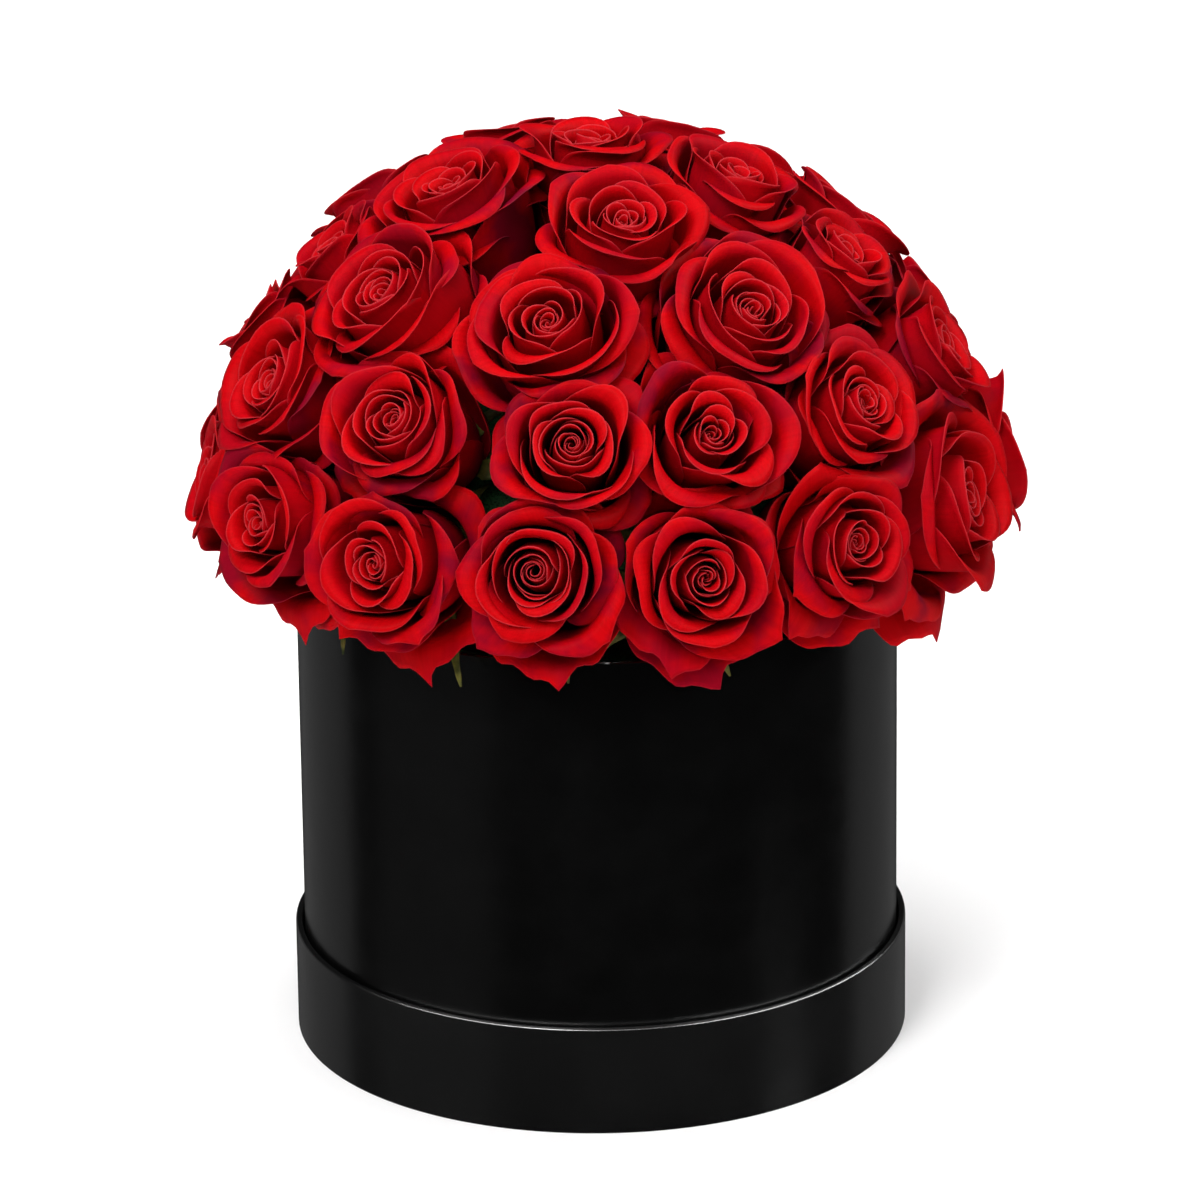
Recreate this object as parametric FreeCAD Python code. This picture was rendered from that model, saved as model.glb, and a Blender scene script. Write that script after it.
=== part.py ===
"""Round covered-board flower box that stands in its own lid and holds a dome of cut roses.

The lid stands on the table with its open side up. The box stands in the lid. A clear waterproof liner
stands in the box, and it holds two round foam blocks with a foam half-ball on top. The stems of the
roses are pushed into the half-ball along its radii. Millimetres, +Z up, origin at the centre of the
lid's underside, front of the arrangement towards -Y.
"""
import FreeCAD
import Part
import math
import os

V = FreeCAD.Vector

# Covered board
WRAP_T = 0.4  # laminated black covering paper
LINING_T = 0.3  # plain black lining paper
BUTT_GAP = 0.2  # gap between a turn-in and the round paper inside it
REST_GAP = 0.3  # air between two parts that lift apart
EDGE_R = 0.8  # rounding of a covered rim

# Lid, standing open side up
LID_R = 108.2  # outside radius of its covered wall
LID_H = 38.7
LID_WALL_T = 1.6
LID_DISC_T = 2.0
LID_TURN_IN = 14.0  # covering paper folded down inside the rim
LID_FACE_R = 104.0  # round paper on the outside of the lid's disc

# Box
BOX_R = 105.0  # outside radius of its covered wall
RIM_Z = 171.5  # top rim above the table
BOX_WALL_T = 2.0
BOX_DISC_T = 2.2
BOX_TURN_IN = 18.0
BOX_FACE_R = 100.5

# Liner and foam
LINER_T = 0.8
LINER_GAP = 0.8  # all round, between the liner and the box
LINER_BELOW_RIM = 7.5
LINER_BEAD = 0.6  # how far the liner's rolled edge stands inwards
FOAM_GAP = 0.3
FOAM_LOWER_H = 79.0
FOAM_TOP_BELOW_RIM = 5.5
FOAM_CHAMFER = 4.0
DOME_R = 88.0  # foam half-ball
DOME_Z = 179.0  # its centre, where all the stems point

# Roses
STEM_R = 2.8
STEM_HOLE_R = 2.85
STEM_INNER_S = 34.0  # cut end of a stem, measured from the dome's centre
HEAD_S = 97.0  # where the stem ends and the flower head begins
WIDE_S = 125.0  # widest part of a head
CROWN_S = 145.0  # top of a head at the side of the dome
CROWN_LIFT = 2.0  # how much higher the heads stand at the top of the dome
HIP_R = 5.5
SHOULDER_BELOW_CROWN = 6.0
SHOULDER_SHARE = 0.84  # radius of the shoulder, as a share of the widest
SHOULDER_BULGE = 1.0  # how far a head's side swells between its widest part and its shoulder
HEAD_GAP = 0.4  # least gap between two heads
HEAD_MAX = math.radians(12.2)  # half the angle that the largest head takes up, seen from the dome's centre

# Tiers from the top down: polar angle, then each rose's azimuth, in degrees. Azimuth 0 is the front.
TIERS = (
    (2, (170,)),
    (21, (-73, 10, 80, 148, 218)),
    (40, (-94, -50, -9, 35, 73, 107, 141, 173, 204, 234)),
    (58.5, (-100, -67, -34, -4, 21, 48, 81, 112, 141, 171, 201, 230)),
    (77, (-107, -82, -57, -32, -8, 16, 40, 67, 93, 119, 145, 171, 197, 225)),
)


def turned(points):
    """Solid of revolution about Z. points are (radius, z) pairs, or (through, end) pairs of them for an arc."""
    edges = []
    last = points[0]
    for p in list(points[1:]) + [points[0]]:
        if isinstance(p[0], tuple):
            through, end = p
            ring = [V(r, 0, z) for r, z in (last, through, end)]
            edges.append(Part.Arc(*ring).toShape())
            last = end
        else:
            edges.append(Part.makeLine(V(last[0], 0, last[1]), V(p[0], 0, p[1])))
            last = p
    face = Part.Face(Part.Wire(edges))
    return face.revolve(V(0, 0, 0), V(0, 0, 1), 360)


def disc(radius, z, thickness):
    return Part.makeCylinder(radius, thickness, V(0, 0, z))


def tube(outer, inner, z, height):
    return disc(outer, z, height).cut(disc(inner, z, height))


def covering(outer, wall_t, bottom, top, turn_in, face_r):
    """Black paper round a board wall: it turns in under the disc, runs up the outside and folds over the rim."""
    inner = outer - wall_t - 2 * WRAP_T
    board_out, board_in = outer - WRAP_T, inner + WRAP_T
    corner = EDGE_R * (1 - math.sqrt(0.5))
    return turned([
        (face_r + BUTT_GAP, bottom),
        (outer, bottom),
        (outer, top - EDGE_R),
        ((outer - corner, top - corner), (outer - EDGE_R, top)),
        (inner + EDGE_R, top),
        ((inner + corner, top - corner), (inner, top - EDGE_R)),
        (inner, top - turn_in),
        (board_in, top - turn_in),
        (board_in, top - WRAP_T),
        (board_out, top - WRAP_T),
        (board_out, bottom + WRAP_T),
        (face_r + BUTT_GAP, bottom + WRAP_T),
    ])


def covered_tray(outer, wall_t, disc_t, bottom, top, turn_in, face_r):
    """The six pieces of a covered tray, which the lid and the box both are."""
    board_out = outer - WRAP_T
    board_in = board_out - wall_t
    disc_z = bottom + WRAP_T
    floor_z = disc_z + disc_t
    lining_top = top - turn_in - BUTT_GAP
    lining_z = floor_z + LINING_T
    return {
        "wall_board": tube(board_out, board_in, disc_z, top - WRAP_T - disc_z),
        "disc_board": disc(board_in, disc_z, disc_t),
        "covering": covering(outer, wall_t, bottom, top, turn_in, face_r),
        "face_paper": disc(face_r, bottom, WRAP_T),
        "floor_lining": disc(board_in - BUTT_GAP, floor_z, LINING_T),
        "wall_lining": tube(board_in, board_in - LINING_T, lining_z, lining_top - lining_z),
    }


def liner(bottom):
    """Clear plastic pot with a rolled edge."""
    outer = BOX_R - 2 * WRAP_T - BOX_WALL_T - LINER_GAP
    inner = outer - LINER_T
    top = RIM_Z - LINER_BELOW_RIM
    return turned([
        (0, bottom),
        (outer, bottom),
        (outer, top),
        (inner - LINER_BEAD, top),
        (inner - LINER_BEAD, top - LINER_T),
        (inner, top - LINER_T),
        (inner, bottom + LINER_T),
        (0, bottom + LINER_T),
    ]), inner


def foam_blocks(bottom, liner_inner):
    """Two stacked round blocks; the upper one's edge is bevelled."""
    radius = liner_inner - FOAM_GAP - LINER_BEAD
    middle = bottom + FOAM_LOWER_H
    top = RIM_Z - FOAM_TOP_BELOW_RIM
    upper = turned([
        (0, middle),
        (radius, middle),
        (radius, top - FOAM_CHAMFER),
        (radius - FOAM_CHAMFER, top),
        (0, top),
    ])
    return disc(radius, bottom, FOAM_LOWER_H), upper, top


def foam_dome(bottom, aims):
    """Half-ball on the upper block, with the hole that each stem makes."""
    corner = DOME_R * math.sqrt(0.5)
    ball = turned([
        (0, bottom),
        (DOME_R, bottom),
        (DOME_R, DOME_Z),
        ((corner, DOME_Z + corner), (0, DOME_Z + DOME_R)),
    ])
    depth = DOME_R + STEM_HOLE_R - STEM_INNER_S
    holes = [aimed(Part.makeCylinder(STEM_HOLE_R, depth, V(0, 0, STEM_INNER_S)), aim) for aim in aims]
    return ball.cut(Part.makeCompound(holes))


def direction(aim):
    polar, azimuth = (math.radians(a) for a in aim)
    return V(math.sin(polar) * math.sin(azimuth), -math.sin(polar) * math.cos(azimuth), math.cos(polar))


def aimed(shape, aim):
    """Turns a shape made along +Z about the dome's centre to a rose's place."""
    polar, azimuth = aim
    moved = shape.copy()
    moved.rotate(V(0, 0, 0), V(1, 0, 0), polar)
    moved.rotate(V(0, 0, 0), V(0, 0, 1), azimuth)
    moved.translate(V(0, 0, DOME_Z))
    return moved


def head_cones(aims):
    """Half-angle of each head's own cone from the dome's centre. Each begins at half the way to its nearest
    neighbour, then grows in turn until it meets one, so no two overlap."""
    def apart(a, b):
        return direction(a).getAngle(direction(b))

    cones = {a: min(apart(a, b) for b in aims if b != a) / 2 for a in aims}
    for a in aims:
        cones[a] = min([HEAD_MAX] + [apart(a, b) - cones[b] for b in aims if b != a])
    return cones


def rose(aim, cone):
    """A plain closed flower head on its stem, whose inner end is cut on the slant."""
    wide = WIDE_S * math.tan(cone) - HEAD_GAP / 2
    crown = CROWN_S + CROWN_LIFT * math.cos(math.radians(aim[0])) ** 2
    shoulder_r, shoulder_s = wide * SHOULDER_SHARE, crown - SHOULDER_BELOW_CROWN
    ball_r = (shoulder_r ** 2 + SHOULDER_BELOW_CROWN ** 2) / (2 * SHOULDER_BELOW_CROWN)
    half = math.asin(shoulder_r / ball_r) / 2
    side = ((wide + shoulder_r) / 2 + SHOULDER_BULGE, (WIDE_S + shoulder_s) / 2)
    cap = (ball_r * math.sin(half), crown - ball_r * (1 - math.cos(half)))
    head = turned([
        (0, HEAD_S),
        (HIP_R, HEAD_S),
        (wide, WIDE_S),
        (side, (shoulder_r, shoulder_s)),
        (cap, (0, crown)),
    ])
    stem = Part.makeCylinder(STEM_R, HEAD_S - STEM_INNER_S, V(0, 0, STEM_INNER_S))
    slant = Part.makeBox(4 * STEM_R, 4 * STEM_R, 4 * STEM_R, V(-2 * STEM_R, -2 * STEM_R, -4 * STEM_R))
    slant.rotate(V(0, 0, 0), V(1, 0, 0), 45)
    slant.translate(V(0, 0, STEM_INNER_S + STEM_R))
    return Part.makeCompound([aimed(head, aim), aimed(stem.cut(slant), aim)])


def build():
    parts = {}
    for name, shape in covered_tray(LID_R, LID_WALL_T, LID_DISC_T, 0, LID_H, LID_TURN_IN, LID_FACE_R).items():
        parts["lid_" + name] = shape
    box_z = WRAP_T + LID_DISC_T + LINING_T + REST_GAP
    for name, shape in covered_tray(BOX_R, BOX_WALL_T, BOX_DISC_T, box_z, RIM_Z, BOX_TURN_IN, BOX_FACE_R).items():
        parts["box_" + name] = shape
    liner_z = box_z + WRAP_T + BOX_DISC_T + LINING_T + REST_GAP
    parts["waterproof_liner"], liner_inner = liner(liner_z)
    lower, upper, foam_top = foam_blocks(liner_z + LINER_T, liner_inner)
    parts["foam_lower_block"] = lower
    parts["foam_upper_block"] = upper
    aims = [(polar, azimuth) for polar, azimuths in TIERS for azimuth in azimuths]
    parts["foam_dome"] = foam_dome(foam_top, aims)
    cones = head_cones(aims)
    for tier, (polar, azimuths) in enumerate(TIERS):
        for k, azimuth in enumerate(azimuths):
            aim = (polar, azimuth)
            parts[f"rose_tier{tier}_{k + 1:02d}"] = rose(aim, cones[aim])
    return parts


def main():
    os.makedirs("parts", exist_ok=True)
    for name, shape in build().items():
        assert shape.isValid() and shape.Volume > 0, name
        shape.exportStep(f"parts/{name}.step")


main()
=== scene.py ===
"""Looks of a round black flower box with a dome of red roses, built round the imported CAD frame.

Each rose of the frame is replaced by a flower that is made petal by petal, with its calyx, sepals and
stem. The box, its lid, the liner and the foam keep their CAD shapes and get their materials here.
Lengths are metres. Inside the flower functions they are millimetres, which Pile.object turns into metres.
"""
import math

import bpy
import numpy as np
from mathutils import Matrix, Vector


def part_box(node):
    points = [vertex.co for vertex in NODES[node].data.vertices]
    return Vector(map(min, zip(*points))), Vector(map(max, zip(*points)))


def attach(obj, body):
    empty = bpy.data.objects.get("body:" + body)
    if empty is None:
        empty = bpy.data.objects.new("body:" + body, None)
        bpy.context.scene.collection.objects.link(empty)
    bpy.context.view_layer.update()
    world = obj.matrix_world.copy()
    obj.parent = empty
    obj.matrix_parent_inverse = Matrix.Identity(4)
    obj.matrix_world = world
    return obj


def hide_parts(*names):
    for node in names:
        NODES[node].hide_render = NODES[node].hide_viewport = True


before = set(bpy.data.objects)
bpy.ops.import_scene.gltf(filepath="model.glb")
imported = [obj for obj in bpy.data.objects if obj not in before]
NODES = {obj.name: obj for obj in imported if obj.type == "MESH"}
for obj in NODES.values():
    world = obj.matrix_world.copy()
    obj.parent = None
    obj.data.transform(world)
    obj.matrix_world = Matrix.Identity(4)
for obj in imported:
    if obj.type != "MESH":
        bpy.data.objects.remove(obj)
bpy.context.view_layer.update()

MM = 0.001

# Camera and stage
CAMERA_AIM = Vector((0.0011, 0, 0.1556))
CAMERA_DISTANCE = 2.5665
CAMERA_ELEVATION = math.radians(19.91)
CAMERA_ROLL = math.radians(-0.69)
CAMERA_LENS = 220
SENSOR_WIDTH = 36
FLOOR_SIZE = 14
WORLD_STRENGTH = 0.012  # so dim that the black box does not turn grey
DOME_AIM = (0, 0, 0.24)
FOOT_AIM = (0, 0, 0.05)

# Flowers
# Lengths are in millimetres here
GOLDEN_ANGLE = math.radians(137.5)  # from one petal to the next
PETALS_LEAST = 25
PETALS_MOST = 30
PETAL_T = 0.32
SEPAL_T = 0.4
BLOOM_WIDEST = 1.42  # the most that a bloom spreads, as a share of its plain CAD head's radius
BLOOM_OVERLAP = 1.13  # how far it reaches towards a neighbour, as a share of half the way
BLOOM_RISE = 1.05  # height of a bloom, as a share of its plain CAD head's
ROOM_STEPS = 72  # directions in which the room round a bloom is measured
SIZE_SHARE = 1.7  # how strongly a larger head pushes its neighbours back
CORNER_POWER = 9  # how sharp the corners are where a bloom is pressed between its neighbours
NEIGHBOUR_ANGLE = math.radians(50)  # heads further off than this do not press
FACE_TILT = math.radians(4)  # how far a bloom may lean off its stem's line
# Blooms that spread more or less than the others, and by what share
HEAD_GROWTH = {
    "rose_tier1_02": 0.88,
    "rose_tier2_01": 0.82,
    "rose_tier2_03": 1.14,
    "rose_tier2_05": 0.94,
    "rose_tier3_01": 0.88,
    "rose_tier4_01": 0.9,
    "rose_tier4_02": 0.82,
}
# Blooms that stand lower or higher than the others, and by what share
HEAD_RISE = {
    "rose_tier2_01": 0.92,
    "rose_tier3_01": 0.96,
    "rose_tier3_07": 1.03,
    "rose_tier4_01": 0.94,
    "rose_tier4_02": 0.92,
    "rose_tier4_09": 1.07,
}
STEM_R = 2.6
STEM_NECK = -5.0  # below this a stem stays in its hole, however its bloom leans
CALYX_R = 6.5
SEPALS = 5
SEPAL_L = 27.0
ROSE_SEED = 40

# How petals change from the bud's first, at 0, to the outermost, at 1: pairs of (place, value)
PETAL_LIP = ((0, 0.5), (0.25, 1.3), (0.45, 2.9), (0.7, 4.3), (1, 5.4))  # radius of the rolled rim
PETAL_CURL = ((0, 0.5), (0.3, 0.9), (0.5, 1.5), (0.7, 1.8), (1, 2.0))  # how far it rolls, in radians
PETAL_REACH = (  # how far out the rim stands, as a share of the bloom's radius
    (0, 0.04), (0.14, 0.11), (0.24, 0.18), (0.34, 0.29), (0.44, 0.42), (0.53, 0.60),
    (0.64, 0.78), (0.75, 0.94), (0.85, 1.0), (0.92, 1.0), (1, 1.14),
)
PETAL_BELLY = (  # radius of the cup's belly, as a share of the radius where the rim begins to roll
    (0, 2.2), (0.2, 1.6), (0.45, 1.10), (0.6, 0.86), (0.8, 0.74), (1, 0.76),
)
PETAL_RISE = (  # height of the rim, as a share of the bloom's
    (0, 0.84), (0.2, 0.90), (0.4, 0.95), (0.6, 1.0), (0.75, 0.96), (0.88, 0.86), (1, 0.66),
)
PETAL_SPAN = (  # half the petal's width, as a share of the belly's radius
    (0, 2.5), (0.2, 1.9), (0.42, 1.65), (0.6, 1.55), (0.8, 1.4), (1, 1.15),
)
PETAL_SLANT = ((0, 0.0), (0.35, 0.05), (0.6, 0.18), (1, 0.5))  # slope of the lines where it rolls
PETAL_SKEW = ((0, 0.0), (0.35, 0.12), (1, 0.3))  # the most that they lean to one side
PETAL_TIP = ((0, 0), (0.5, 0.01), (1, 0.08))  # length of the point, as a share of the petal's
PETAL_WAVE = ((0, 0), (0.4, 0.2), (1, 0.9))  # how far the rim waves in and out
PETAL_SPIRAL = ((0, 0.35), (0.3, 0.7), (1, 1.0))  # how far one side stands out, per radian of its width
PETAL_HANG = ((0.7, 0), (0.9, 1))  # how much of the droop reaches a petal
BUD_LEAN = ((0, 1), (0.75, 0))  # how much of the bud's lean reaches a petal
HANG_TIP = 0.16  # longer point of a hanging petal
HANG_FRILL = 0.05  # and its frilled edge


# ---------------------------------------------------------------- materials

class Shader:
    """A material's node tree, with short ways to add nodes."""

    def __init__(self, name):
        self.material = bpy.data.materials.new(name)
        self.material.use_nodes = True
        self.tree = self.material.node_tree
        self.surface = self.tree.nodes["Principled BSDF"]

    def set(self, **values):
        for name, value in values.items():
            self.surface.inputs[name.replace("_", " ")].default_value = value

    def link(self, source, target):
        self.tree.links.new(source, target)

    def node(self, kind, **settings):
        made = self.tree.nodes.new("ShaderNode" + kind)
        for name, value in settings.items():
            setattr(made, name, value)
        return made

    def place(self, scale=(1, 1, 1)):
        """The point's place in the object's own axes, scaled."""
        where = self.node("TexCoord")
        mapping = self.node("Mapping")
        mapping.inputs["Scale"].default_value = scale
        self.link(where.outputs["Object"], mapping.inputs["Vector"])
        return mapping.outputs["Vector"]

    def noise(self, vector, scale, detail=4.0, rough=0.55):
        made = self.node("TexNoise")
        made.inputs["Scale"].default_value = scale
        made.inputs["Detail"].default_value = detail
        made.inputs["Roughness"].default_value = rough
        self.link(vector, made.inputs["Vector"])
        return made.outputs["Fac"]

    def maths(self, operation, a, b):
        made = self.node("Math", operation=operation)
        for value, socket in zip((a, b), made.inputs):
            if isinstance(value, (int, float)):
                socket.default_value = value
            else:
                self.link(value, socket)
        return made.outputs["Value"]

    def span(self, value, low, high, to_low=0.0, to_high=1.0):
        """value from low..high to to_low..to_high, held at the ends."""
        made = self.node("MapRange")
        ends = {"From Min": low, "From Max": high, "To Min": to_low, "To Max": to_high}
        for name, number in ends.items():
            made.inputs[name].default_value = number
        self.link(value, made.inputs["Value"])
        return made.outputs["Result"]

    def mix(self, share, a, b):
        """Colour a where share is 0 and b where it is 1."""
        made = self.node("Mix", data_type="RGBA")
        self.link(share, made.inputs["Factor"])
        for value, name in ((a, "A"), (b, "B")):
            socket = next(s for s in made.inputs if s.name == name and s.type == "RGBA")
            if isinstance(value, tuple):
                socket.default_value = (*value, 1)
            else:
                self.link(value, socket)
        return next(s for s in made.outputs if s.type == "RGBA")

    def bump(self, height, distance, strength=1.0, after=None):
        made = self.node("Bump")
        made.inputs["Distance"].default_value = distance
        made.inputs["Strength"].default_value = strength
        self.link(height, made.inputs["Height"])
        if after is not None:
            self.link(after, made.inputs["Normal"])
        return made.outputs["Normal"]

    def colour(self, socket):
        self.link(socket, self.surface.inputs["Base Color"])

    def roughness(self, socket):
        self.link(socket, self.surface.inputs["Roughness"])

    def normal(self, socket):
        self.link(socket, self.surface.inputs["Normal"])


def black_paper(name, low, high):
    """Black laminated covering paper: satin, faintly mottled between two greys, with a fine grain."""
    s = Shader(name)
    s.set(Specular_IOR_Level=1.0)
    place = s.place()
    mottle = s.noise(place, 14, 5)
    s.colour(s.mix(s.span(mottle, 0.3, 0.7), (low, low, low), (high, high, high)))
    s.roughness(s.span(s.noise(place, 60, 3), 0.3, 0.7, 0.21, 0.26))
    grain = s.bump(s.noise(place, 2600, 2), 0.00003, 0.5)
    s.normal(s.bump(s.noise(place, 38, 3), 0.00035, 0.35, after=grain))
    return s.material


def lining_paper():
    """Matt black paper with fibres along the box's height."""
    s = Shader("black_lining_paper")
    s.set(Specular_IOR_Level=0.2)
    place = s.place()
    fibre = s.noise(s.place((1, 1, 0.2)), 900, 4)
    s.colour(s.mix(s.span(fibre, 0.35, 0.65), (0.008, 0.008, 0.008), (0.018, 0.018, 0.018)))
    s.roughness(s.span(s.noise(place, 120), 0.3, 0.7, 0.75, 0.9))
    s.normal(s.bump(fibre, 0.00006, 0.6))
    return s.material


def greyboard():
    """Grey-brown recycled board with specks."""
    s = Shader("greyboard")
    place = s.place()
    speck = s.noise(place, 700, 6, 0.7)
    s.colour(s.mix(s.span(speck, 0.35, 0.7), (0.21, 0.19, 0.165), (0.36, 0.335, 0.30)))
    s.roughness(s.span(speck, 0.3, 0.7, 0.8, 0.95))
    s.normal(s.bump(speck, 0.0001, 0.6))
    return s.material


def clear_plastic():
    """Thin clear plastic, a little uneven."""
    s = Shader("clear_liner")
    s.set(Base_Color=(0.93, 0.96, 0.97, 1), Transmission_Weight=1.0, IOR=1.45)
    place = s.place()
    s.roughness(s.span(s.noise(place, 25, 2), 0.3, 0.7, 0.03, 0.12))
    s.normal(s.bump(s.noise(place, 30, 2), 0.0004, 0.4))
    return s.material


def wet_foam():
    """Dark green floral foam: matte, with open pores and crumbs."""
    s = Shader("wet_foam")
    s.set(Specular_IOR_Level=0.15)
    place = s.place()
    pores = s.noise(place, 1400, 3, 0.7)
    damp = s.noise(place, 25, 4)
    tone = s.mix(s.span(damp, 0.35, 0.65), (0.008, 0.048, 0.012), (0.016, 0.080, 0.020))
    # Painted shade: the colour goes near black in the pores, where the bump is lowest.
    s.colour(s.mix(s.span(pores, 0.38, 0.52), (0.003, 0.018, 0.005), tone))
    s.roughness(s.span(pores, 0.35, 0.6, 0.95, 0.75))
    crumbs = s.bump(s.noise(place, 320, 5, 0.65), 0.0004, 0.3)
    s.normal(s.bump(pores, 0.0003, 0.5, after=crumbs))
    return s.material


def petal_velvet():
    """Crimson petals. The mesh's attribute petal holds the height on the petal, the place across it,
    which whorl it is in and a number of its own. The attribute back is 1 on the petal's outer face."""
    streak_a, streak_b = (0.37, 0.0005, 0.002), (0.43, 0.0007, 0.003)
    painted_shade_red, ageing_and_sheen, outer = (0.07, 0.0, 0.001), (0.12, 0.001, 0.013), (0.20, 0.0005, 0.005)
    painted_edge_highlight = (0.6, 0.10, 0.12)
    s = Shader("rose_petals")
    s.set(Specular_IOR_Level=0.015)
    about = s.node("Attribute", attribute_name="petal")
    parts = s.node("SeparateColor")
    s.link(about.outputs["Color"], parts.inputs["Color"])
    height = parts.outputs["Red"]
    signed = s.maths("SUBTRACT", s.maths("MULTIPLY", parts.outputs["Green"], 2), 1)
    across = s.maths("ABSOLUTE", signed, 0)
    whorl = parts.outputs["Blue"]
    own = about.outputs["Alpha"]
    back = s.node("Attribute", attribute_name="back").outputs["Fac"]
    place = s.place()
    blotch = s.noise(place, 45, 3)
    streak_place = s.node("CombineXYZ")
    s.link(s.maths("MULTIPLY", parts.outputs["Green"], 46), streak_place.inputs["X"])
    s.link(s.maths("MULTIPLY", height, 2.5), streak_place.inputs["Y"])
    s.link(s.maths("MULTIPLY", own, 37), streak_place.inputs["Z"])
    streak = s.noise(streak_place.outputs["Vector"], 1.0, 3)
    lit = s.mix(s.span(streak, 0.35, 0.65), streak_a, streak_b)
    # Petals are painted darker towards their feet: painted shade deep inside the bloom.
    red = s.mix(s.span(height, 0.15, 0.75), painted_shade_red, lit)
    # Burgundy-purple patches on the outer whorls: partly the real bluish ageing of outer petals, partly a
    # painted velvet sheen.
    ageing_and_sheen_share = s.maths("MULTIPLY", s.span(whorl, 0.45, 0.85, 0.15, 0.95), s.span(blotch, 0.44, 0.60))
    ageing_and_sheen_share = s.maths("MULTIPLY", ageing_and_sheen_share, s.span(own, 0.0, 1.0, 0.3, 1.0))
    red = s.mix(ageing_and_sheen_share, red, ageing_and_sheen)
    red = s.mix(s.maths("MULTIPLY", back, 0.35), red, outer)
    # Petal edges are painted pale. This is a painted highlight where light catches the thin edges,
    # stronger on the bud's petals than on the outer ones.
    rim = s.maths("MAXIMUM", s.span(height, 0.99, 1.0), s.span(across, 0.99, 1.0))
    red = s.mix(s.maths("MULTIPLY", rim, s.span(whorl, 0.3, 0.7, 0.24, 0.07)), red, painted_edge_highlight)
    s.colour(red)
    s.roughness(s.span(blotch, 0.3, 0.7, 0.48, 0.62))
    velvet = s.bump(s.noise(place, 2200, 2), 0.00005, 0.5)
    s.normal(s.bump(streak, 0.0005, 0.12, after=velvet))
    return s.material


def leaf_green():
    """Stems, calyces and sepals."""
    s = Shader("rose_greens")
    s.set(Specular_IOR_Level=0.2)
    place = s.place()
    tone = s.noise(place, 220, 4)
    green = s.mix(s.span(tone, 0.35, 0.65), (0.016, 0.024, 0.003), (0.12, 0.11, 0.015))
    s.colour(s.mix(s.span(s.noise(place, 90, 2), 0.55, 0.75, 0, 0.5), green, (0.20, 0.13, 0.03)))
    s.roughness(s.span(tone, 0.3, 0.7, 0.45, 0.65))
    s.normal(s.bump(tone, 0.0003, 0.5))
    return s.material


def pale_floor():
    s = Shader("pale_floor")
    s.set(Base_Color=(0.93, 0.93, 0.93, 1), Roughness=0.9, Specular_IOR_Level=0.1)
    return s.material


# ---------------------------------------------------------------- meshes

def closed_sheet(grid, thick):
    """A thin closed solid from rows of points: (points, faces, 1 for each point of its outer face)."""
    rows, columns, _ = grid.shape
    normal = np.cross(np.gradient(grid, axis=1), np.gradient(grid, axis=0))
    normal /= np.maximum(np.linalg.norm(normal, axis=-1, keepdims=True), 1e-9)
    half = normal * thick / 2
    points = np.concatenate([(grid + half).reshape(-1, 3), (grid - half).reshape(-1, 3)])
    number = np.arange(rows * columns).reshape(rows, columns)
    a, b, c, d = number[:-1, :-1], number[:-1, 1:], number[1:, 1:], number[1:, :-1]
    count = rows * columns
    outer = np.stack([a, b, c, d], -1).reshape(-1, 4)
    inner = np.stack([a, d, c, b], -1).reshape(-1, 4) + count
    edge = np.concatenate([number[0, :], number[1:, -1], number[-1, -2::-1], number[-2:0:-1, 0]])
    following = np.roll(edge, -1)
    rim = np.stack([following, edge, edge + count, following + count], -1)
    back = np.concatenate([np.ones(count), np.zeros(count)])
    return points, np.concatenate([outer, inner, rim]), back


def turned_solid(profile, around=14):
    """A closed solid of revolution about Z, from (radius, z) pairs that begin and end on the axis."""
    angle = np.linspace(0, 2 * math.pi, around, endpoint=False)
    inside = profile[1:-1]
    rings = [np.stack([r * np.cos(angle), r * np.sin(angle), np.full(around, z)], -1) for r, z in inside]
    points = np.concatenate([*rings, [[0, 0, profile[0][1]]], [[0, 0, profile[-1][1]]]])
    foot, head = len(points) - 2, len(points) - 1
    step = np.arange(around)
    after = (step + 1) % around
    faces = [[int(after[i]), int(step[i]), foot] for i in range(around)]
    for k in range(len(inside) - 1):
        low, high = k * around, (k + 1) * around
        faces += [[low + int(step[i]), low + int(after[i]), high + int(after[i]), high + int(step[i])]
                  for i in range(around)]
    last = (len(inside) - 1) * around
    faces += [[last + int(step[i]), last + int(after[i]), head] for i in range(around)]
    return points, faces


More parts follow.
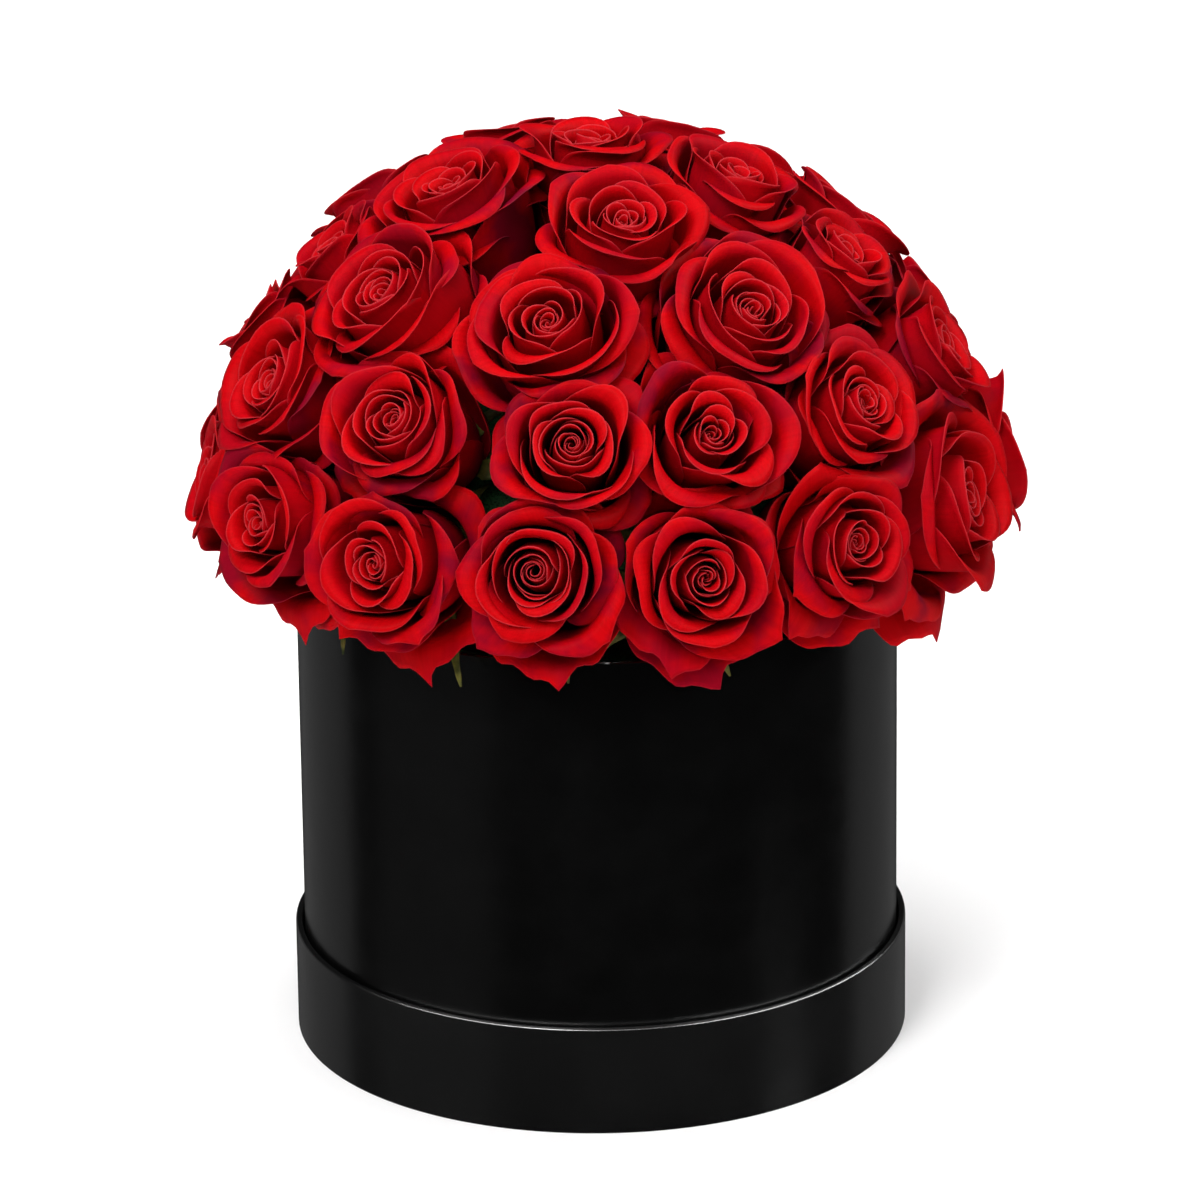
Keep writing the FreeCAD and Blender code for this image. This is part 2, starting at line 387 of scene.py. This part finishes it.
class Pile:
    """Gathers solids into one mesh with two materials."""

    def __init__(self):
        self.points = []
        self.faces = []
        self.slots = []
        self.about = []
        self.back = []
        self.size = 0

    def add(self, points, faces, slot, about=None, back=None):
        count = len(points)
        self.points.append(points)
        self.faces += [[int(i) + self.size for i in f] for f in faces]
        self.slots += [slot] * len(faces)
        self.about.append(np.zeros((count, 4)) if about is None else about)
        self.back.append(np.zeros(count) if back is None else back)
        self.size += count

    def object(self, name, matrix, lean, materials):
        """One mesh object. It leans about its own origin, apart from the stem, which stays straight."""
        mesh = bpy.data.meshes.new(name)
        points = np.concatenate(self.points)
        straight = (points[:, 2] < STEM_NECK) & (np.hypot(points[:, 0], points[:, 1]) < CALYX_R)
        points = np.where(straight[:, None], points, points @ np.array(lean).T) * MM
        turn = np.array(matrix.to_3x3())
        points = points @ turn.T + np.array(matrix.translation)
        mesh.from_pydata(points.tolist(), [], self.faces)
        mesh.attributes.new("petal", "FLOAT_COLOR", "POINT").data.foreach_set(
            "color", np.concatenate(self.about).astype(np.float32).ravel())
        mesh.attributes.new("back", "FLOAT", "POINT").data.foreach_set(
            "value", np.concatenate(self.back).astype(np.float32))
        for material in materials:
            mesh.materials.append(material)
        mesh.polygons.foreach_set("material_index", self.slots)
        mesh.polygons.foreach_set("use_smooth", [True] * len(mesh.polygons))
        made = bpy.data.objects.new(name, mesh)
        bpy.context.scene.collection.objects.link(made)
        return made


# ---------------------------------------------------------------- roses

def between(t, *stops):
    """The value at t on the line through (t, value) stops."""
    return float(np.interp(t, [s[0] for s in stops], [s[1] for s in stops]))


def bezier(points, steps=50):
    t = np.linspace(0, 1, steps)[:, None]
    a, b, c, d = (np.array(p, float) for p in points)
    return (1 - t) ** 3 * a + 3 * (1 - t) ** 2 * t * b + 3 * (1 - t) * t ** 2 * c + t ** 3 * d


def petal_grid(rng, azimuth, cup, half_width, tip, roll, spiral, wave, frill, size):
    """One petal's middle surface: a flat outline whose rim is rolled back along two slanted lines, then
    laid on the cup, a curve of (radius, height) turned about the flower's axis. roll is where the rim
    begins to roll, as a share of the length, then the slope and the skew of the two lines, the roll's
    radius and how far round it goes. Returns the points, with their places across the petal and up it."""
    curve = bezier(cup)
    steps = np.diff(curve, axis=0)
    step_length = np.linalg.norm(steps, axis=1)
    arc = np.concatenate([[0], np.cumsum(step_length)])
    length = arc[-1]

    # Columns lie closer together at the two sides, and rows at the rim
    rows, columns = size
    across = np.linspace(-1, 1, columns)
    across = np.sin(across * math.pi * 0.46) / math.sin(math.pi * 0.46)
    u, v = np.meshgrid(across, np.linspace(0, 1, rows) ** 0.8)

    # The outline: a narrow foot, widest two thirds of the way up, with a point and a frill at the rim
    width = half_width * (0.2 + 0.8 * np.sin(np.clip(v / 0.68, 0, 1) * math.pi / 2) ** 0.9)
    width = width * (1 - 0.1 * np.clip((v - 0.75) / 0.25, 0, 1) ** 2)
    phase = rng.uniform(0, 2 * math.pi, 3)
    point = tip * np.exp(-np.abs(u) / 0.22)
    outline = 1 - 0.20 * np.abs(u) ** 2.8 + point + 0.012 * np.sin(4 * u + phase[0])
    outline = outline + frill * np.sin(11 * u + phase[1]) * np.cos(4 * u + phase[2])
    x, y = u * width, v * length * outline

    # The rim rolls round a rod that lies along two lines, which meet bluntly in the middle
    start, slant, skew, radius, most = roll
    blunt = 0.18 * half_width
    side = np.sqrt(x ** 2 + blunt ** 2)
    sidewise = slant * x / side + skew
    lean = np.sqrt(1 + sidewise ** 2)
    past = (y + slant * (side - blunt) + skew * x - start * length) / lean
    radius = radius * (1 + 0.25 * np.sin(2.2 * u + phase[1]))
    turn = np.clip(past / radius, 0, most)
    over = np.where(past > 0, past - turn * radius, 0)
    shift = np.where(past > 0, radius * np.sin(turn) + over * np.cos(turn) - past, 0)
    out = np.where(past > 0, radius * (1 - np.cos(turn)) + over * np.sin(turn), 0)
    out = out + wave * v ** 2 * (np.sin(3.1 * u + phase[2]) + 0.6 * np.sin(6.7 * u + phase[0]))
    rolled_x = x + shift * sidewise / lean
    rolled_y = y + shift / lean

    # The rolled outline is laid on the cup
    middle = (arc[1:] + arc[:-1]) / 2
    outward = np.interp(rolled_y, middle, steps[:, 0] / step_length)
    upward = np.interp(rolled_y, middle, steps[:, 1] / step_length)
    beyond = np.clip(rolled_y - length, 0, None)
    theta = rolled_x / np.maximum(np.interp(y, arc, curve[:, 0]), 2.0)
    r = np.interp(rolled_y, arc, curve[:, 0]) + beyond * outward + out * upward
    r = r + spiral * theta * np.clip(v * 1.5, 0, 1)
    z = np.interp(rolled_y, arc, curve[:, 1]) + beyond * upward - out * outward
    angle = azimuth + theta
    return np.stack([r * np.cos(angle), r * np.sin(angle), z], -1), u, v


def room_round(turn, wide, others, crown):
    """How far a flower may spread, in millimetres, at each of ROOM_STEPS azimuths before it meets its
    neighbours. others are their axes and radii, and crown is how far from the dome's centre they meet."""
    angles = np.linspace(0, 2 * math.pi, ROOM_STEPS, endpoint=False)
    closeness = np.full(ROOM_STEPS, (wide * BLOOM_WIDEST) ** -CORNER_POWER)
    for axis, other_wide in others:
        seen = turn.transposed() @ axis
        push, other_push = wide ** SIZE_SHARE, other_wide ** SIZE_SHARE
        half_way = crown * math.tan(seen.angle(Vector((0, 0, 1))) * push / (push + other_push))
        facing = np.clip(np.cos(angles - math.atan2(seen.y, seen.x)), 0, None)
        closeness += (facing / (half_way * BLOOM_OVERLAP)) ** CORNER_POWER
    return closeness ** (-1 / CORNER_POWER)


def pressed(grid, room):
    """The share by which each point moves out or in: outer petals fill the room, the bud stays round."""
    radius = float(np.mean(room))
    angles = np.linspace(0, 2 * math.pi, ROOM_STEPS, endpoint=False)
    share = np.interp(np.arctan2(grid[..., 1], grid[..., 0]), angles, room / radius, period=2 * math.pi)
    outward = np.clip(np.hypot(grid[..., 0], grid[..., 1]) / radius * 2 - 0.5, 0, 1)
    return 1 + (share - 1) * outward


def add_petals(pile, rng, room, height, droop):
    """A spiral of petals, from the tight bud to the outermost, which fill the room round the flower.
    Petals that face -Y hang by the share droop."""
    radius = float(np.mean(room))
    first = rng.uniform(0, 2 * math.pi)
    count = int(rng.integers(PETALS_LEAST, PETALS_MOST + 1))
    pointed = rng.uniform(0.1, 0.7) + 0.35 * droop
    fullness = rng.uniform(0.85, 1.2)
    bud_lean = rng.uniform(0, 0.07) * radius
    bud_side = rng.uniform(0, 2 * math.pi)
    for k in range(count):
        t = k / (count - 1)
        azimuth = first + k * GOLDEN_ANGLE + rng.uniform(-0.22, 0.22)
        hang = droop * max(0.0, -math.sin(azimuth)) * between(t, *PETAL_HANG)
        lip = between(t, *PETAL_LIP) * rng.uniform(0.75, 1.4)
        curl = between(t, *PETAL_CURL) * rng.uniform(0.7, 1.15) * (1 - 0.35 * hang)
        reach = radius * between(t, *PETAL_REACH) ** fullness
        reach = reach * rng.uniform(0.92, 1.08) * (1 + 0.12 * hang)
        top = max(reach - lip * (1 - math.cos(curl)), reach * 0.6)
        belly = top * between(t, *PETAL_BELLY)
        rise = height * between(t, *PETAL_RISE)
        rise = rise * (1 - 0.35 * hang) + rng.uniform(-1.3, 1.3)
        half_width = between(t, *PETAL_SPAN) * max(belly, 1.5)
        cup = ((2.2, 0), (belly * 1.1 + 1, 1.0), (belly * 1.05 + 0.5, rise * 0.62), (top, rise))
        length = 0.8 * belly + rise
        roll = (
            1 - lip * curl / length + rng.uniform(-0.02, 0.01),
            between(t, *PETAL_SLANT) * rng.uniform(0.5, 1.2) * pointed,
            between(t, *PETAL_SKEW) * rng.uniform(-1, 1),
            lip,
            curl,
        )
        tip = between(t, *PETAL_TIP) * rng.uniform(0.3, 1.2) * pointed + HANG_TIP * hang
        wave = between(t, *PETAL_WAVE)
        spiral = between(t, *PETAL_SPIRAL)
        frill = HANG_FRILL * hang
        size = (13, 29) if t < 0.3 else (17, 29) if t < 0.6 else (21, 31)
        grid, u, v = petal_grid(rng, azimuth, cup, half_width, tip, roll, spiral, wave, frill, size)
        shift = bud_lean * between(t, *BUD_LEAN) * v ** 1.5
        grid[..., 0] += shift * math.cos(bud_side)
        grid[..., 1] += shift * math.sin(bud_side)
        grid[..., :2] *= pressed(grid, room)[..., None]
        points, faces, back = closed_sheet(grid, PETAL_T)
        about = np.stack([v, u / 2 + 0.5, np.full_like(u, t), np.full_like(u, rng.uniform())], -1)
        about = about.reshape(-1, 4)
        pile.add(points, faces, 0, np.concatenate([about, about]), back)


def add_greens(pile, rng, stem_length, droop):
    """The stem, the calyx under the petals, and the sepals."""
    pile.add(*turned_solid([
        (0, -stem_length),
        (STEM_R * 0.9, -stem_length + 0.5),
        (STEM_R, -stem_length * 0.5),
        (STEM_R, -6),
        (CALYX_R * 0.75, -3.5),
        (CALYX_R, 0.5),
        (CALYX_R * 0.8, 3),
        (0, 4),
    ]), 1)
    for k in range(SEPALS):
        azimuth = (k + rng.uniform(-0.15, 0.15)) * 2 * math.pi / SEPALS
        hang = droop * max(0.0, -math.sin(azimuth))
        length = SEPAL_L * rng.uniform(0.85, 1.15) * (1 + 0.45 * hang)
        rows, columns = 12, 5
        u, v = np.meshgrid(np.linspace(-1, 1, columns), np.linspace(0, 1, rows))
        width = 3.6 * np.sin(np.clip(v * 1.25 + 0.25, 0, 1) * math.pi / 2) * (1 - v ** 2.2) + 0.25
        r = CALYX_R * 0.7 + length * v * 0.93
        bent = (0.42 * v - 0.75 * v ** 3) * (1 - hang) + 0.3 * v * hang
        z = 1.0 + length * bent + rng.uniform(-1, 1) * v + 1.2 * u ** 2 * (1 - v)
        x = u * width * (1 + 0.25 * np.sin(v * 17 + k))
        grid = np.stack([
            r * math.cos(azimuth) - x * math.sin(azimuth),
            r * math.sin(azimuth) + x * math.cos(azimuth),
            z,
        ], -1)
        points, faces, _ = closed_sheet(grid, SEPAL_T)
        pile.add(points, faces, 1)


def rose_place(node, centre):
    """Where a rose of the frame stands: (matrix from the flower's own axes, axis, radius, height, stem
    length). The flower's axes begin where its head does, with Z outwards and -Y downhill. The radius, the
    height and the stem's length are in millimetres."""
    points = np.array([v.co for v in node.data.vertices], float) - np.array(centre)
    far = points[np.argmax(np.linalg.norm(points, axis=1))]
    axis = Vector(far).normalized()
    along = points @ np.array(axis)
    aside = np.linalg.norm(points - np.outer(along, axis), axis=1)
    wide = aside.max()
    base = along[aside > 0.15 * wide].min()
    uphill = Vector((0, 0, 1)) - axis * axis.z
    if uphill.length < 0.1:
        uphill = Vector((0, 1, 0)) - axis * axis.y
    uphill.normalize()
    sideways = uphill.cross(axis)
    turn = Matrix((sideways, uphill, axis)).transposed().to_4x4()
    place = Matrix.Translation(Vector(centre) + axis * base) @ turn
    grown = wide / MM * HEAD_GROWTH.get(node.name, 1)
    return place, axis, grown, (along.max() - base) / MM, (base - along.min()) / MM


def make_roses():
    """Replaces each rose of the frame with a flower that has room between its neighbours."""
    low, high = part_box("foam_dome")
    centre = (0.0, 0.0, high.z - (high.x - low.x) / 2)
    materials = (petal_velvet(), leaf_green())
    names = sorted(n for n in NODES if n.startswith("rose_"))
    places = {name: rose_place(NODES[name], centre) for name in names}
    for k, name in enumerate(names):
        rng = np.random.default_rng(ROSE_SEED + k)
        place, axis, wide, tall, stem = places[name]
        crown = (place.translation - Vector(centre)).length / MM + tall
        others = [(places[n][1], places[n][2]) for n in names
                  if n != name and places[n][1].angle(axis) < NEIGHBOUR_ANGLE]
        pile = Pile()
        droop = between(axis.z, (0.2, 1.0), (0.45, 0.35), (0.7, 0.1))
        bloom_tall = tall * BLOOM_RISE * HEAD_RISE.get(name, 1)
        add_petals(pile, rng, room_round(place.to_3x3(), wide, others, crown), bloom_tall, droop)
        add_greens(pile, rng, stem, droop)
        tilts = rng.uniform(-1, 1, 2) * FACE_TILT
        lean = Matrix.Rotation(tilts[0], 3, "X") @ Matrix.Rotation(tilts[1], 3, "Y")
        flower = pile.object(name.replace("rose_", "rose_flower_"), place, lean, materials)
        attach(flower, "insert")
        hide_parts(name)


# ---------------------------------------------------------------- box, lid, liner and foam

def dress_nodes():
    """Gives each CAD node that stays its material, by the ending of its name."""
    coats = {
        # The lid's copy of the black paper is painted lighter than the box's. This is painted light for
        # the brighter sheen of the lid's wall, not a lighter paper.
        "lid_covering": black_paper("lid_black_paper_painted_lighter", 0.0022, 0.0042),
        "box_covering": black_paper("box_black_paper", 0.0002, 0.0005),
        "lining": lining_paper(),
        "board": greyboard(),
        "waterproof_liner": clear_plastic(),
    }
    coats["lid_face_paper"] = coats["lid_covering"]
    coats["box_face_paper"] = coats["box_covering"]
    foam = wet_foam()
    for name, node in NODES.items():
        if name.startswith("rose_"):
            continue
        node.data.materials.clear()
        if name.startswith("foam_"):
            node.data.materials.append(foam)
        else:
            ending = next(e for e in coats if name.endswith(e))
            node.data.materials.append(coats[ending])


# ---------------------------------------------------------------- stage

def area_light(name, place, aim, width, height, power):
    """A rectangular light that the camera does not see."""
    light = bpy.data.lights.new(name, "AREA")
    light.shape = "RECTANGLE"
    light.size = width
    light.size_y = height
    light.energy = power
    made = bpy.data.objects.new(name, light)
    made.visible_camera = False
    made.location = place
    made.rotation_euler = (Vector(aim) - Vector(place)).to_track_quat("-Z", "Y").to_euler()
    bpy.context.scene.collection.objects.link(made)
    return made


def set_stage():
    """The floor, a dim world and the lights. Glossy surfaces do not mirror the floor, so the black walls
    show only the edge panels, which reach below it."""
    mesh = bpy.data.meshes.new("floor")
    half = FLOOR_SIZE / 2
    corners = [(-half, -half, 0), (half, -half, 0), (half, half, 0), (-half, half, 0)]
    mesh.from_pydata(corners, [], [(0, 1, 2, 3)])
    mesh.materials.append(pale_floor())
    floor = bpy.data.objects.new("floor", mesh)
    bpy.context.scene.collection.objects.link(floor)
    floor.visible_glossy = False

    world = bpy.data.worlds.new("studio")
    world.use_nodes = True
    background = world.node_tree.nodes["Background"]
    background.inputs["Color"].default_value = (1, 1, 1, 1)
    background.inputs["Strength"].default_value = WORLD_STRENGTH
    bpy.context.scene.world = world

    area_light("key", (-1.3, -2.9, 3.7), DOME_AIM, 1.3, 1.3, 115)
    area_light("front_fill", (0.3, -3.7, 3.0), DOME_AIM, 3.0, 1.6, 62)
    area_light("left_fill", (-2.5, -2.7, 3.0), DOME_AIM, 3.4, 0.8, 68)
    area_light("right_fill", (3.2, -1.9, 2.7), DOME_AIM, 3.4, 0.8, 62)
    area_light("top", (0, 0.5, 4.0), DOME_AIM, 3.0, 2.5, 160)
    area_light("left_edge", (-1.24, 1.24, -0.3), FOOT_AIM, 1.7, 1.9, 1.15)
    area_light("right_edge", (1.24, 1.24, -0.3), FOOT_AIM, 1.7, 1.9, 1.15)
    area_light("left_soft", (-1.6, -0.7, -0.4), FOOT_AIM, 1.6, 1.5, 0.26)
    area_light("right_low", (1.14, -0.36, -0.68), FOOT_AIM, 0.4, 0.3, 0.12)
    rims = [
        area_light("left_rim", (-1.58, -1.42, 2.16), FOOT_AIM, 3.4, 0.3, 115),
        area_light("right_rim", (2.15, -0.25, 2.16), FOOT_AIM, 5.2, 0.3, 200),
    ]
    for light in rims:
        light.visible_diffuse = False  # they only draw the bright line along the rims
    bpy.context.scene.view_settings.view_transform = "Standard"


def set_camera():
    camera = bpy.data.objects.new("camera", bpy.data.cameras.new("camera"))
    camera.data.lens = CAMERA_LENS
    camera.data.sensor_width = SENSOR_WIDTH
    back = Vector((0, -math.cos(CAMERA_ELEVATION), math.sin(CAMERA_ELEVATION)))
    camera.location = CAMERA_AIM + back * CAMERA_DISTANCE
    level = Matrix.Rotation(math.pi / 2 - CAMERA_ELEVATION, 4, "X")
    camera.rotation_euler = (level @ Matrix.Rotation(CAMERA_ROLL, 4, "Z")).to_euler()
    bpy.context.scene.collection.objects.link(camera)
    bpy.context.scene.camera = camera


set_camera()
set_stage()
dress_nodes()
make_roses()
